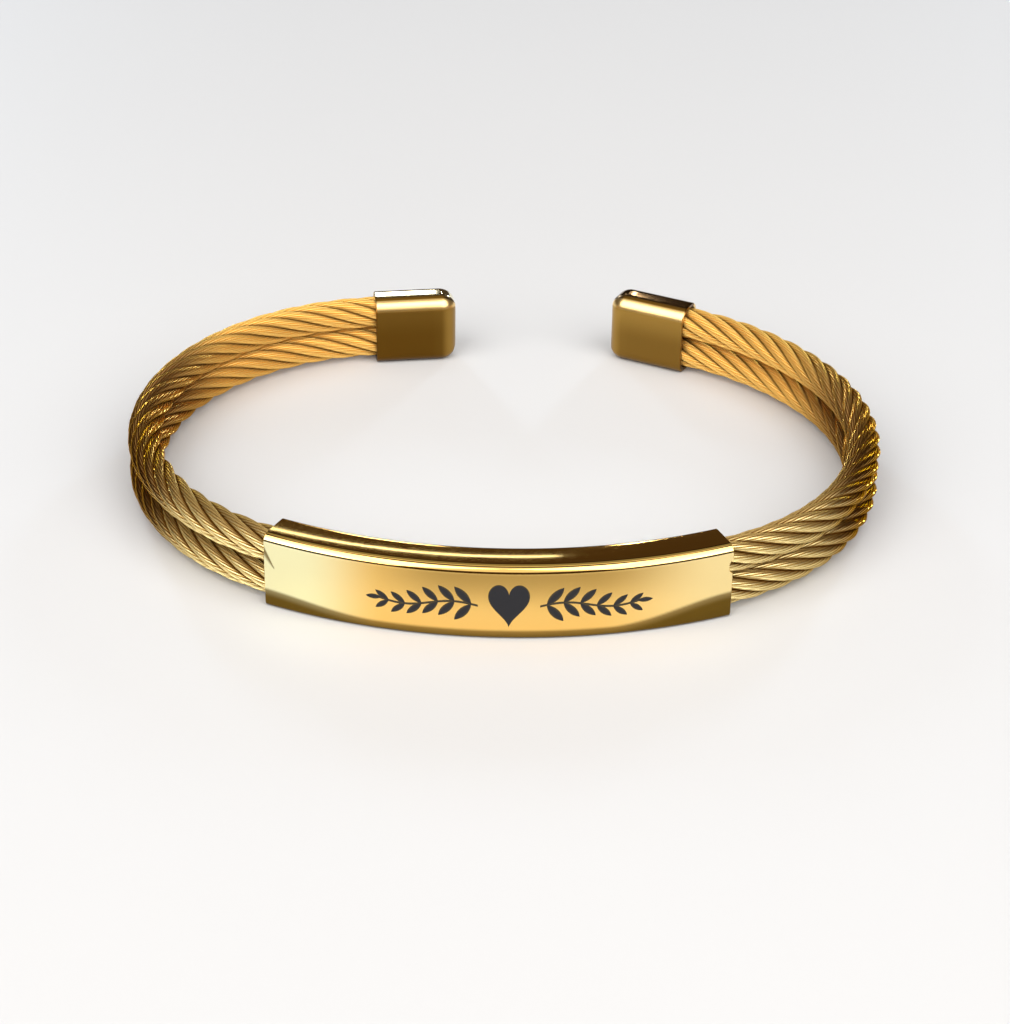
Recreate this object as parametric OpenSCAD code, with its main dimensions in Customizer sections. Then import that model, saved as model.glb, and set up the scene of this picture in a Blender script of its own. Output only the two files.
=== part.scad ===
// Engraved bangle: an open cuff of two gold-plated steel cables, one above the other, that pass
// through a polished curved bar at the front and end in two rounded caps with a gap between them.
// It lies on its side: X runs along the bar, from the left limb to the right limb, Y runs back
// towards the gap, and Z is the width of the cuff. The origin is the middle of the footprint, on
// the surface that it rests on.

/* [Cuff] */
// Width of the cuff, which is the height of the bar and of the caps as it lies
cuff_w = 6.6; // [6.6:0.1:8]
// Radius of the left side bend, at the middle of a cable
left_side_r = 22.9; // [22:0.1:27]
// Angle of the left side bend
left_side_sweep = 104; // [94:0.2:106]
// Radius of the right side bend, at the middle of a cable
right_side_r = 22.6; // [22:0.1:27]
// Angle of the right side bend
right_side_sweep = 98.2; // [94:0.2:106]
// Radius of the left back bend, at the middle of a cable
left_back_r = 21.5; // [18:0.5:28]
// Angle of the left back bend, the longer limb
left_back_sweep = 42; // [26:0.5:46]
// Radius of the right back bend, at the middle of a cable
right_back_r = 25.5; // [18:0.5:28]
// Angle of the right back bend, the shorter limb
right_back_sweep = 32; // [26:0.5:46]

/* [Cables] */
// Diameter of one cable
cable_d = 2.9; // [2.4:0.05:3]
// Gap between the two cables
cable_gap = 0.1; // [0.05:0.05:0.3]
// Room left around the cables inside the bar and the caps
fit_gap = 0.05; // [0.02:0.01:0.08]

/* [Bar] */
// Radius of the bar's curve, at the middle of a cable
bar_r = 43; // [38:0.5:50]
// Length of the bar along its curve, at the middle of a cable
bar_len = 37.2; // [32:0.1:40]
// Thickness of the bar, from the skin side to the engraved face
bar_t = 3.4; // [3.4:0.05:4]
// Rounding of the bar's upper front edge
bar_top_round = 0.9; // [0.3:0.05:1]
// Rounding of the bar's lower front edge
bar_low_round = 0.3; // [0.2:0.05:1]
// Rounding of the bar's two skin-side edges
bar_back_round = 0.5; // [0.2:0.05:0.8]
// Depth of the small notch in the front wall at the bar's right end
notch_depth = 0.35; // [0.1:0.05:0.6]
// Height of the notch
notch_h = 1.2; // [0.6:0.1:1.6]
// Height of the notch's middle above the middle of the bar
notch_rise = 1.45; // [0:0.05:1.5]

/* [End caps] */
// Length of a cap
cap_len = 7.7; // [6:0.1:12]
// Thickness of a cap
cap_t = 3.5; // [3.4:0.05:4.5]
// Rounding of a cap's long edges
cap_round = 1; // [0.6:0.05:1.1]
// Rounding of a cap round its free end
cap_end_round = 1.5; // [0.6:0.05:1.6]
// Depth of a cap's socket for the cable ends
socket_depth = 5; // [3:0.1:5]

/* [Engraving] */
// Distance of the heart's middle from the middle of the bar, to the right
engraving_shift = 1.15; // [-2:0.05:2]
// Width of the heart
heart_w = 3.3; // [1.5:0.1:3.6]
// Height of the heart
heart_h = 3.7; // [1.5:0.1:3.8]
// Depth of the engraving
engraving_depth = 0.06; // [0.03:0.01:0.1]
// Length of the leafy sprig on each side of the heart
sprig_len = 9.1; // [6:0.1:10]
// Space between the heart and each sprig
sprig_gap = 0.8; // [0.4:0.1:1.5]
// Number of leaf pairs on a sprig
leaf_pairs = 6; // [3:1:7]
// Length of the largest leaf
leaf_len = 2.1; // [1:0.1:2.2]
// Greatest width of the largest leaf
leaf_w = 0.75; // [0.3:0.05:0.8]
// Width of a sprig's stem
stem_w = 0.2; // [0.1:0.02:0.3]

/* [Hidden] */
$fn = 96;

// Height of the middle of the cuff, and of each cable's own middle
mid_z = cuff_w / 2;
cable_step = (cable_d + cable_gap) / 2;

// Channel that runs through the bar and into the caps, round both cables
channel_w = cable_d + 2 * fit_gap;
channel_h = 2 * cable_d + cable_gap + 2 * fit_gap;
channel_round = 0.4 * cable_d;

// Where two bends of a cable meet, each stops this short of the other and a thin ring joins them
joint_trim = 0.02;
joint_ring_w = 0.1;
joint_ring_proud = 0.01;

// Half the bar's angle about the centre of its curve, and the radius of its engraved face
bar_half = bar_len / 2 / bar_r * 180 / PI;
face_r = bar_r + bar_t / 2;

// Radius of the circle that the notch is a segment of
notch_r = (notch_h * notch_h / 4 + notch_depth * notch_depth) / (2 * notch_depth);

// Bends of a limb: the radius and angle of its side bend, then of its back bend
left_bends = [[left_side_r, left_side_sweep], [left_back_r, left_back_sweep]];
right_bends = [[right_side_r, right_side_sweep], [right_back_r, right_back_sweep]];

// Heading of the cables at the start of a cap, where 0 runs along +X and 180 along -X
function cap_heading(bends) = bar_half + bends[0][1] + bends[1][1];

// Point reached by an arc that starts at a point with a heading and turns by sweep
function arc_end(start, heading, r, sweep) = [
    start.x + r * (sin(heading + sweep) - sin(heading)),
    start.y + r * (cos(heading) - cos(heading + sweep))
];

// Start of a cap, in the bar's own frame with the middle of the bar at [0, 0]
function cap_start(bends) = arc_end(
    arc_end(arc_end([0, 0], 0, bar_r, bar_half), bar_half, bends[0][0], bends[0][1]),
    bar_half + bends[0][1], bends[1][0], bends[1][1]
);

// Furthest back that a cap reaches: its rounded outer corner at the free end
function cap_reach(bends) = let (h = cap_heading(bends), r = cap_end_round)
    cap_start(bends).y + (cap_len - r) * sin(h) - (cap_t / 2 - r) * cos(h) + r;

// The cuff's depth runs from the engraved face to the cap that reaches further back
front_y = -bar_t / 2;
back_y = max(cap_reach(left_bends), cap_reach(right_bends));

// Furthest that a side bend reaches from the middle of the bar, where its heading is 90
function side_reach(bends) = bar_r * sin(bar_half) + bends[0][0] * (1 - sin(bar_half)) + cable_d / 2;

// Where the middle of the bar lies, so that the origin is the middle of the footprint
bar_x = (side_reach(left_bends) - side_reach(right_bends)) / 2;
bar_y = -(front_y + back_y) / 2;

// Height of a stem's wave and the number of its steps
stem_wave = 0.3;
stem_steps = 16;

// Where the first pair of leaves starts, and how the leaves shrink and close towards the sprig's tip
leaf_lead = 0.4;
leaf_shrink = 0.4;
leaf_angle = 50;
leaf_closing = 14;

// Step of the heart curve's angle
heart_step = 7.5;

gold = [0.93, 0.74, 0.36];
cable_gold = [0.88, 0.67, 0.30];
end_gold = [0.80, 0.60, 0.24];

// Puts the bar's own frame at its place
module place() {
    translate([bar_x, bar_y, mid_z]) children();
}

// Sweeps a section round the centre [0, r] from one heading to another, where heading 0 is at [0, 0]
module arc(r, from, to) {
    translate([0, r, 0]) rotate([0, 0, from - 90]) rotate_extrude(angle = to - from) translate([r, 0]) children();
}

// Moves the children to the end of such an arc, turned to its heading there
module after_arc(r, sweep) {
    translate([r * sin(sweep), r * (1 - cos(sweep)), 0]) rotate([0, 0, sweep]) children();
}

// Rectangle about [0, 0] with its own rounding for the upper right, the lower right and the left corners
module rounded_rect(w, h, upper_r, lower_r, left_r) {
    union() {
        translate([-w / 2 + left_r, -h / 2]) square([w / 2 - left_r, h]);
        translate([-w / 2, -h / 2 + left_r]) square([w / 2, h - 2 * left_r]);
        square([w / 2 - upper_r, h / 2]);
        translate([0, -h / 2]) square([w / 2 - lower_r, h / 2]);
        translate([0, -h / 2 + lower_r]) square([w / 2, h - lower_r - upper_r]);
        translate([w / 2 - upper_r, h / 2 - upper_r]) circle(r = upper_r);
        translate([w / 2 - lower_r, -h / 2 + lower_r]) circle(r = lower_r);
        for (side = [-1, 1]) {
            translate([-w / 2 + left_r, side * (h / 2 - left_r)]) circle(r = left_r);
        }
    }
}

// Section of the space for the cables
module channel() {
    rounded_rect(channel_w, channel_h, channel_round, channel_round, channel_round);
}

// Bend of a cable between two headings, trimmed at both ends
module bend(r, from, to) {
    trim = joint_trim / r * 180 / PI;
    arc(r, from + trim, to - trim) circle(d = cable_d);
}

// Ring that joins two bends at [0, 0], across the heading +X
module joint_ring() {
    rotate([0, 90, 0]) cylinder(d = cable_d + 2 * joint_ring_proud, h = joint_ring_w, center = true);
}

// One limb of a cable, from the bar's end to the bottom of its socket
module limb(bends) {
    after_arc(bar_r, bar_half) {
        joint_ring();
        bend(bends[0][0], 0, bends[0][1]);
        after_arc(bends[0][0], bends[0][1]) {
            joint_ring();
            bend(bends[1][0], 0, bends[1][1]);
            after_arc(bends[1][0], bends[1][1]) {
                joint_ring();
                translate([joint_trim, 0, 0]) rotate([0, 90, 0]) {
                    cylinder(d = cable_d, h = socket_depth - fit_gap - joint_trim);
                }
            }
        }
    }
}

// One continuous cable at its height above the middle of the cuff
module cable(level) {
    place() translate([0, 0, level]) union() {
        bend(bar_r, -bar_half, bar_half);
        limb(right_bends);
        mirror([1, 0, 0]) limb(left_bends);
    }
}

// Heart outline by the sine-cubed heart curve, scaled to the heart's width and height
module heart() {
    curve_w = 32;
    curve_h = 29;
    curve_mid = -2.5;
    polygon([for (t = [0:heart_step:360 - heart_step]) [
        16 * pow(sin(t), 3) * heart_w / curve_w,
        (13 * cos(t) - 5 * cos(2 * t) - 2 * cos(3 * t) - cos(4 * t) - curve_mid) * heart_h / curve_h
    ]]);
}

// Leaf with two pointed ends, from [0, 0] along +X: the lens where two circles overlap
module leaf(len, w) {
    r = (len * len + w * w) / (4 * w);
    intersection() {
        translate([len / 2, r - w / 2]) circle(r = r);
        translate([len / 2, -r + w / 2]) circle(r = r);
    }
}

// Sprig that leaves the heart along +X: a stem along a sine wave, leaf pairs and a leaf at the tip
module sprig() {
    start = heart_w / 2 + sprig_gap;
    stem_len = sprig_len - leaf_len * (1 - leaf_shrink);
    function stem_z(u) = stem_wave * sin(360 * u);
    stem = [for (i = [0:stem_steps]) [start + stem_len * i / stem_steps, stem_z(i / stem_steps)]];
    half = [0, stem_w / 2];
    polygon([for (p = stem) p + half, for (i = [stem_steps:-1:0]) stem[i] - half]);
    for (i = [0:leaf_pairs - 1]) {
        u = (i + leaf_lead) / leaf_pairs;
        size = 1 - leaf_shrink * u;
        for (side = [-1, 1]) {
            translate([start + stem_len * u, stem_z(u)]) {
                rotate(side * (leaf_angle - leaf_closing * u)) leaf(leaf_len * size, leaf_w * size);
            }
        }
    }
    translate([start + stem_len - stem_w, stem_z(1)]) leaf(leaf_len * (1 - leaf_shrink), leaf_w * (1 - leaf_shrink));
}

// Everything engraved, as a cut that goes down from the curved face by the engraving's depth
module engraving() {
    reach = 2;
    intersection() {
        rotate([90, 0, 0]) translate([0, 0, -reach]) linear_extrude(height = 2 * reach + bar_t) {
            translate([engraving_shift, 0]) union() {
                heart();
                sprig();
                mirror([1, 0]) sprig();
            }
        }
        translate([0, bar_r, -cuff_w]) difference() {
            cylinder(r = face_r + reach, h = 2 * cuff_w);
            cylinder(r = face_r - engraving_depth, h = 2 * cuff_w);
        }
    }
}

// Small notch in the front wall at [0, 0]: a segment of a circle that lies mostly past the end
module notch() {
    translate([notch_r - notch_depth, 0, notch_rise]) rotate([90, 0, 0]) cylinder(r = notch_r, h = bar_t);
}

// Hollow bar that the cables run through
module engraved_bar() {
    color(gold) place() difference() {
        arc(bar_r, -bar_half, bar_half) difference() {
            rounded_rect(bar_t, cuff_w, bar_top_round, bar_low_round, bar_back_round);
            channel();
        }
        engraving();
        after_arc(bar_r, bar_half) notch();
    }
}

module upper_cable() {
    color(cable_gold) cable(cable_step);
}

module lower_cable() {
    color(cable_gold) cable(-cable_step);
}

// Block from [0, 0, 0] along +X, with a rounding for its long edges and one round its free end
module rounded_block(len, w, h, r, end_r) {
    intersection() {
        rotate([90, 0, 90]) linear_extrude(height = len) rounded_rect(w, h, r, r, r);
        translate([0, 0, -h]) linear_extrude(height = 2 * h) {
            translate([-r, 0]) rounded_end(len + r, w, end_r);
        }
        rotate([90, 0, 0]) translate([0, 0, -w]) linear_extrude(height = 2 * w) {
            translate([-r, 0]) rounded_end(len + r, h, end_r);
        }
    }
}

// Rectangle from [0, 0] along +X with rounding at its far corners only
module rounded_end(len, w, r) {
    translate([0, -w / 2]) square([len - r, w]);
    translate([0, -w / 2 + r]) square([len, w - 2 * r]);
    for (side = [-1, 1]) {
        translate([len - r, side * (w / 2 - r)]) circle(r = r);
    }
}

// Cap at the end of the right limb, with its socket open towards the cables
module end_cap(bends) {
    start = cap_start(bends);
    translate([start.x, start.y, 0]) rotate([0, 0, cap_heading(bends)]) {
        difference() {
            rounded_block(cap_len, cap_t, cuff_w, cap_round, cap_end_round);
            rotate([90, 0, 90]) translate([0, 0, -1]) linear_extrude(height = socket_depth + 1) channel();
        }
    }
}

module left_end_cap() {
    color(end_gold) place() mirror([1, 0, 0]) end_cap(left_bends);
}

module right_end_cap() {
    color(end_gold) place() end_cap(right_bends);
}

engraved_bar();
upper_cable();
lower_cable();
left_end_cap();
right_end_cap();
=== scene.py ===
"""Engraved bangle: twisted cables, polished bar, engraving and end caps, in a plain studio."""

from __future__ import annotations

import logging
import math
from dataclasses import dataclass
from enum import Enum
from typing import Protocol

import bpy
import numpy as np
from mathutils import Matrix, Vector


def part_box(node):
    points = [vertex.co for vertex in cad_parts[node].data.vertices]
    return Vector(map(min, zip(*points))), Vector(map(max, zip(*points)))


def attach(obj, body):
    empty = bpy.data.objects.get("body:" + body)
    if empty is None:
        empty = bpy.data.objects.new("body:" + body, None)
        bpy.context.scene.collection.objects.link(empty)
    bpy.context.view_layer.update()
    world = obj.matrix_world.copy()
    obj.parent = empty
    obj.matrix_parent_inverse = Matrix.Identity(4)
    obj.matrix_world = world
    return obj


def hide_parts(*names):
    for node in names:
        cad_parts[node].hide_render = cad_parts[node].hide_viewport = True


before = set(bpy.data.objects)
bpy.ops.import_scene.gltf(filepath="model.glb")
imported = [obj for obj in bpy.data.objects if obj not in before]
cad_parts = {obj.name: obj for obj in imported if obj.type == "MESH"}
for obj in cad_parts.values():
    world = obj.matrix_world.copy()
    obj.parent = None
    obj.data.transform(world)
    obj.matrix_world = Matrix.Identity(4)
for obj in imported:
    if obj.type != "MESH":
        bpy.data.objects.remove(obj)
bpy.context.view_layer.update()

LOG = logging.getLogger("engraved_bangle")
BODY = "root"
MM = 0.001
TURN = 2 * math.pi
UP = np.array([0.0, 0.0, 1.0])
NOISE_DETAIL = 3.0
BUMP_STRENGTH = 0.3
Array = np.ndarray
Colour = tuple[float, float, float]
Socket = bpy.types.NodeSocket


class Side(Enum):
    """Limb of the cuff: the value is the sign of X on that side."""

    LEFT = -1
    RIGHT = 1


class Slot(Enum):
    """Material slots of the record."""

    BAR = "bar"
    CABLE = "cable"
    CAP = "cap"


def smooth_step(values: Array, start: float, end: float) -> Array:
    """Eases from 0 to 1.

    Args:
        values: Numbers to ease.
        start: Number at which the result is 0.
        end: Number at which the result is 1.

    Returns:
        Three times the squared share of the way, less twice its cube.
    """
    share = np.clip((values - start) / (end - start), 0, 1)
    return share * share * (3 - 2 * share)


def stacked(*parts: Array | float) -> Array:
    """Returns arrays of matching shapes as the last axis of one array."""
    return np.stack(np.broadcast_arrays(*parts), -1)


@dataclass
class Surface:
    """Grid of points in mm, rings by points around, that closes round each ring.

    A pole is a single point that closes the grid beyond its first or last ring. A looped grid has its
    last ring joined to its first one. The mask is three numbers for each point, which the finish reads.
    """

    points: Array
    looped: bool = False
    first_pole: Array | None = None
    last_pole: Array | None = None
    mask: Array | None = None

    def vertices(self) -> Array:
        """Returns all points as rows, with the poles last."""
        poles = [np.reshape(p, (1, 3)) for p in (self.first_pole, self.last_pole) if p is not None]
        return np.concatenate([self.points.reshape(-1, 3)] + poles)

    def masks(self) -> Array:
        """Works out the masks of the vertices: a pole has the mean of its ring.

        Returns:
            Three numbers for each row of vertices.
        """
        mask = np.zeros(3) if self.mask is None else self.mask
        given = np.broadcast_to(mask, self.points.shape)
        ends = ((given[0], self.first_pole), (given[-1], self.last_pole))
        poles = [ring.mean(0)[None] for ring, pole in ends if pole is not None]
        return np.concatenate([given.reshape(-1, 3)] + poles)

    def faces(self) -> tuple[Array, Array]:
        """Works out the faces, turned to point outwards.

        A quad joins each point to its neighbour around the ring and to the same two on the next ring.
        A triangle joins two neighbours of an end ring to the pole there. The volume is the sum, over
        triangles, of the product of the corners' vectors over 6, and where it is negative all turn round.

        Returns:
            The quads as rows of 4 indices, and the triangles as rows of 3.
        """
        rings, around = self.points.shape[:2]
        index = np.arange(rings * around).reshape(rings, around)
        here = index if self.looped else index[:-1]
        there = np.roll(index, -1, axis=0)[: len(here)]
        quads = np.stack([here, np.roll(here, -1, 1), np.roll(there, -1, 1), there], -1).reshape(-1, 4)
        fans = [np.zeros((0, 3), int)]
        pole = rings * around
        for ring, point, order in ((index[0], self.first_pole, -1), (index[-1], self.last_pole, 1)):
            if point is not None:
                pair = np.stack([ring, np.roll(ring, -1)][::order], -1)
                fans.append(np.column_stack([pair, np.full(around, pole)]))
                pole += 1
        triangles = np.concatenate(fans)
        split = np.concatenate([quads[:, [0, 1, 2]], quads[:, [0, 2, 3]], triangles])
        vertices = self.vertices()
        a, b, c = (vertices[split[:, i]] - vertices[0] for i in range(3))
        if np.einsum("ij,ij->", a, np.cross(b, c)) < 0:
            return quads[:, ::-1], triangles[:, ::-1]
        return quads, triangles


def capped(points: Array, mask: Array) -> Surface:
    """Returns a grid closed by a pole at the middle of its first ring and of its last."""
    return Surface(points, first_pole=points[0].mean(0), last_pole=points[-1].mean(0), mask=mask)


def build_object(name: str, surfaces: list[Surface], sharp_deg: float) -> bpy.types.Object:
    """Puts surfaces into one mesh object at the origin.

    Args:
        name: Name of the piece.
        surfaces: The closed surfaces, in mm.
        sharp_deg: Edges between faces that turn by more than this stay crisp.

    Returns:
        The new object, linked to the scene, with the masks in the vector attribute "mask".
    """
    vertices = [s.vertices() * MM for s in surfaces]
    starts = np.cumsum([0] + [len(v) for v in vertices])
    pairs = [s.faces() for s in surfaces]
    quads = np.concatenate([q + start for (q, _), start in zip(pairs, starts)])
    triangles = np.concatenate([t + start for (_, t), start in zip(pairs, starts)])
    corners = np.concatenate([quads.ravel(), triangles.ravel()]).astype(np.int32)
    totals = np.concatenate([np.full(len(quads), 4), np.full(len(triangles), 3)]).astype(np.int32)

    mesh = bpy.data.meshes.new(name)
    mesh.vertices.add(starts[-1])
    mesh.vertices.foreach_set("co", np.concatenate(vertices).astype(np.float32).ravel())
    mesh.loops.add(len(corners))
    mesh.loops.foreach_set("vertex_index", corners)
    mesh.polygons.add(len(totals))
    mesh.polygons.foreach_set("loop_start", (np.cumsum(totals) - totals).astype(np.int32))
    mesh.polygons.foreach_set("loop_total", totals)
    mesh.polygons.foreach_set("use_smooth", np.ones(len(totals), bool))
    mesh.update(calc_edges=True)
    mesh.validate()
    mask = mesh.attributes.new("mask", "FLOAT_VECTOR", "POINT")
    mask.data.foreach_set("vector", np.concatenate([s.masks() for s in surfaces]).astype(np.float32).ravel())
    mesh.set_sharp_from_angle(angle=math.radians(sharp_deg))
    piece = bpy.data.objects.new(name, mesh)
    bpy.context.scene.collection.objects.link(piece)
    return piece


@dataclass(frozen=True)
class Bend:
    """Arc of the plan curve: its radius in mm and the angle that it turns in degrees."""

    radius: float
    sweep: float

    @property
    def length(self) -> float:
        """Length of the arc in mm."""
        return self.radius * math.radians(self.sweep)


@dataclass
class Stations:
    """Points on the cuff's middle line in mm, with the unit directions there."""

    point: Array
    along: Array
    outward: Array

    def carry(self, out: Array, height: Array) -> Array:
        """Returns the points moved outward and upward by offsets in mm of a matching shape."""
        return self.point + np.asarray(out)[..., None] * self.outward + np.asarray(height)[..., None] * UP


@dataclass(frozen=True)
class CuffPath:
    """Middle line of the cuff seen from above, in mm, by the same bends as the solid model.

    The line starts in the middle of the bar, where it runs along X, and each limb turns back towards
    the gap through half the bar, a side bend and a back bend, and then runs straight into its cap.
    """

    middle: tuple[float, float, float]
    bar: Bend
    left: tuple[Bend, Bend]
    right: tuple[Bend, Bend]
    socket: float

    def bends(self, side: Side) -> list[Bend]:
        """Returns the bends of a limb in order, from the middle of the bar to the start of its cap."""
        return [self.bar, *(self.left if side is Side.LEFT else self.right)]

    def reach(self, side: Side) -> float:
        """Returns the length of a limb from the middle of the bar to the start of its cap, in mm."""
        return sum(b.length for b in self.bends(side))

    def limb(self, side: Side, distance: Array) -> Stations:
        """Works out one limb.

        On a bend of radius r, a distance d past its start turns the heading by d / r. The point moves
        by r times the change of the heading's sine along X, and of its cosine back along Y. Past the
        last bend the line runs straight. The left limb is the same, mirrored in X.

        Args:
            side: The limb.
            distance: Distances from the middle of the bar, in mm, 0 or more.

        Returns:
            The stations at those distances.
        """
        heading = np.zeros_like(distance)
        x = np.zeros_like(distance)
        y = np.zeros_like(distance)
        done = 0.0
        for bend in self.bends(side):
            turned = heading + np.clip(distance - done, 0, bend.length) / bend.radius
            x += bend.radius * (np.sin(turned) - np.sin(heading))
            y += bend.radius * (np.cos(heading) - np.cos(turned))
            heading = turned
            done += bend.length
        rest = np.clip(distance - done, 0, None)
        x += rest * np.cos(heading)
        y += rest * np.sin(heading)
        sign = side.value
        return Stations(
            np.array(self.middle) + stacked(sign * x, y, 0.0),
            stacked(np.cos(heading), sign * np.sin(heading), 0.0),
            stacked(sign * np.sin(heading), -np.cos(heading), 0.0),
        )

    def at(self, distance: Array) -> Stations:
        """Works out the whole line.

        Args:
            distance: Signed distances from the middle of the bar, in mm: the left limb is negative.

        Returns:
            The stations, with directions that run from the left cap to the right cap.
        """
        left = self.limb(Side.LEFT, np.abs(distance))
        right = self.limb(Side.RIGHT, np.abs(distance))
        pick = (distance < 0)[..., None]
        return Stations(
            np.where(pick, left.point, right.point),
            np.where(pick, left.along, right.along),
            np.where(pick, left.outward, right.outward),
        )


@dataclass(frozen=True)
class Walk:
    """Points round an outline: offsets outward, heights, and the angles of their outward normals."""

    out: Array
    up: Array
    turn: Array


@dataclass(frozen=True)
class Outline:
    """Rectangle with rounded corners, in mm, about its middle: outward is one axis, up is the other.

    The rounds are those of its corners in the order lower front, upper front, upper back and lower
    back, and an inset makes them smaller, down to the least round. The crown makes its top and bottom
    bulge. The steps are numbers of points: on a corner, on the front edge and on each other edge.
    """

    width: float
    height: float
    rounds: tuple[float, float, float, float]
    crown: float = 0.0
    least_round: float = 0.3
    corner_steps: int = 14
    front_steps: int = 12
    edge_steps: int = 12

    def walk(self, inset: float = 0.0) -> Walk:
        """Works out the outline.

        Each corner is a quarter circle about its own centre, and straight edges join them. The crown
        takes the squared share of the way out, times its own height, off each height.

        Args:
            inset: Distance that the outline is drawn inwards, in mm.

        Returns:
            The points.
        """
        half_w, half_h = self.width / 2 - inset, self.height / 2 - inset
        quarter = np.linspace(0, math.pi / 2, self.corner_steps)
        corners = []
        for number, (sign_out, sign_up) in enumerate(((1, -1), (1, 1), (-1, 1), (-1, -1))):
            radius = self.rounds[number]
            turn = (number - 1) * math.pi / 2 + quarter
            kept = min(max(radius - inset, min(radius, self.least_round)), half_w)
            out = sign_out * (half_w - kept) + kept * np.cos(turn)
            up = sign_up * (half_h - kept) + kept * np.sin(turn)
            corners.append(np.stack([out, up, turn]))
        rows = []
        for number, corner in enumerate(corners):
            following = corners[(number + 1) % 4]
            steps = self.front_steps if number == 0 else self.edge_steps
            blend = np.linspace(0, 1, steps + 2)[1:-1]
            edge = corner[:, -1:] + (following[:, :1] - corner[:, -1:]) * blend
            edge[2] = corner[2, -1]
            rows += [corner, edge]
        out, up, turn = np.concatenate(rows, axis=1)
        up = up - np.sign(up) * self.crown * (np.abs(up) / half_h) * (out / (self.width / 2)) ** 2
        return Walk(out, up, turn)


def gathered(walks: list[Walk]) -> Walk:
    """Returns walks round outlines as one, with a row for each of them."""
    return Walk(*(np.stack([getattr(w, part) for w in walks]) for part in ("out", "up", "turn")))


class Tree:
    """Shorthand for the node tree of a material."""

    def __init__(self, name: str) -> None:
        """Makes an empty material with an output and a principled shader.

        Args:
            name: Name of the material.
        """
        self.material = bpy.data.materials.new(name)
        self.material.use_nodes = True
        self.tree = self.material.node_tree
        self.tree.nodes.clear()
        self.output = self.tree.nodes.new("ShaderNodeOutputMaterial")
        self.shader = self.tree.nodes.new("ShaderNodeBsdfPrincipled")
        self.link(self.shader.outputs["BSDF"], self.output.inputs["Surface"])

    def node(self, kind: str, **settings: object) -> bpy.types.Node:
        """Adds a node.

        Args:
            kind: Type name of the node.
            settings: Properties to set, and values of input sockets by name with _ for a space.

        Returns:
            The node.
        """
        made = self.tree.nodes.new(kind)
        for key, value in settings.items():
            if hasattr(made, key):
                setattr(made, key, value)
            else:
                made.inputs[key.replace("_", " ")].default_value = value
        return made

    def link(self, source: Socket, target: Socket) -> None:
        """Joins an output to an input."""
        self.tree.links.new(source, target)

    def masks(self) -> tuple[Socket, Socket, Socket]:
        """Reads the mesh's mask.

        Returns:
            Its three numbers.
        """
        parts = self.node("ShaderNodeSeparateXYZ")
        self.link(self.node("ShaderNodeAttribute", attribute_name="mask").outputs["Vector"], parts.inputs[0])
        return parts.outputs["X"], parts.outputs["Y"], parts.outputs["Z"]

    def noise(self, scale: float) -> Socket:
        """Adds a noise on the object's own coordinates.

        Args:
            scale: Scale of the noise, per metre.

        Returns:
            The noise, from 0 to 1.
        """
        made = self.node("ShaderNodeTexNoise", Scale=scale, Detail=NOISE_DETAIL)
        self.link(self.node("ShaderNodeTexCoord").outputs["Object"], made.inputs["Vector"])
        return made.outputs["Fac"]

    def mapped(self, source: Socket, start: float, end: float, low: float, high: float) -> Socket:
        """Maps one range of a number onto another.

        Args:
            source: The number.
            start: Number that gives the low result.
            end: Number that gives the high result.
            low: Result at the start.
            high: Result at the end.

        Returns:
            The mapped number.
        """
        made = self.node("ShaderNodeMapRange", From_Min=start, From_Max=end, To_Min=low, To_Max=high)
        self.link(source, made.inputs["Value"])
        return made.outputs["Result"]

    def added(self, one: Socket, other: Socket) -> Socket:
        """Adds two numbers.

        Args:
            one: The first number.
            other: The second number.

        Returns:
            Their sum.
        """
        made = self.node("ShaderNodeMath", operation="ADD")
        self.link(one, made.inputs[0])
        self.link(other, made.inputs[1])
        return made.outputs[0]

    def ramp(self, factor: Socket, one: Colour, other: Colour) -> Socket:
        """Goes from one colour to another.

        Args:
            factor: Share of the way.
            one: Colour at 0.
            other: Colour at 1.

        Returns:
            The colour at the factor.
        """
        made = self.node("ShaderNodeValToRGB")
        made.color_ramp.elements[0].color = (*one, 1)
        made.color_ramp.elements[1].color = (*other, 1)
        self.link(factor, made.inputs["Fac"])
        return made.outputs["Color"]

    def blend(self, factor: Socket, one: Socket, other: Colour) -> Socket:
        """Goes from a linked colour to a given one.

        Args:
            factor: Share of the way.
            one: Linked colour at 0.
            other: Colour at 1.

        Returns:
            The colour at the factor.
        """
        made = self.node("ShaderNodeMix", data_type="RGBA")
        inputs = {s.identifier: s for s in made.inputs}
        self.link(factor, inputs["Factor_Float"])
        self.link(one, inputs["A_Color"])
        inputs["B_Color"].default_value = (*other, 1)
        return next(s for s in made.outputs if s.identifier == "Result_Color")

    def grain(self, scale: float, depth: float) -> None:
        """Gives the shader a bump from a noise.

        Args:
            scale: Scale of the noise, per metre.
            depth: Depth of the bump, in metres.
        """
        bump = self.node("ShaderNodeBump", Strength=BUMP_STRENGTH, Distance=depth)
        self.link(self.noise(scale), bump.inputs["Height"])
        self.link(bump.outputs["Normal"], self.shader.inputs["Normal"])

    def dress(self, colour: Socket, roughness: Socket | float, metallic: float) -> bpy.types.Material:
        """Finishes the material.

        Args:
            colour: Base colour.
            roughness: Socket of the roughness, or one number for the whole surface.
            metallic: 1 for bare metal, 0 for none.

        Returns:
            The material.
        """
        self.link(colour, self.shader.inputs["Base Color"])
        self.shader.inputs["Metallic"].default_value = metallic
        if isinstance(roughness, float):
            self.shader.inputs["Roughness"].default_value = roughness
        else:
            self.link(roughness, self.shader.inputs["Roughness"])
        return self.material


class Finish(Protocol):
    """Anything that makes a material."""

    def material(self) -> bpy.types.Material:
        """Makes the material."""
        ...


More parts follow.
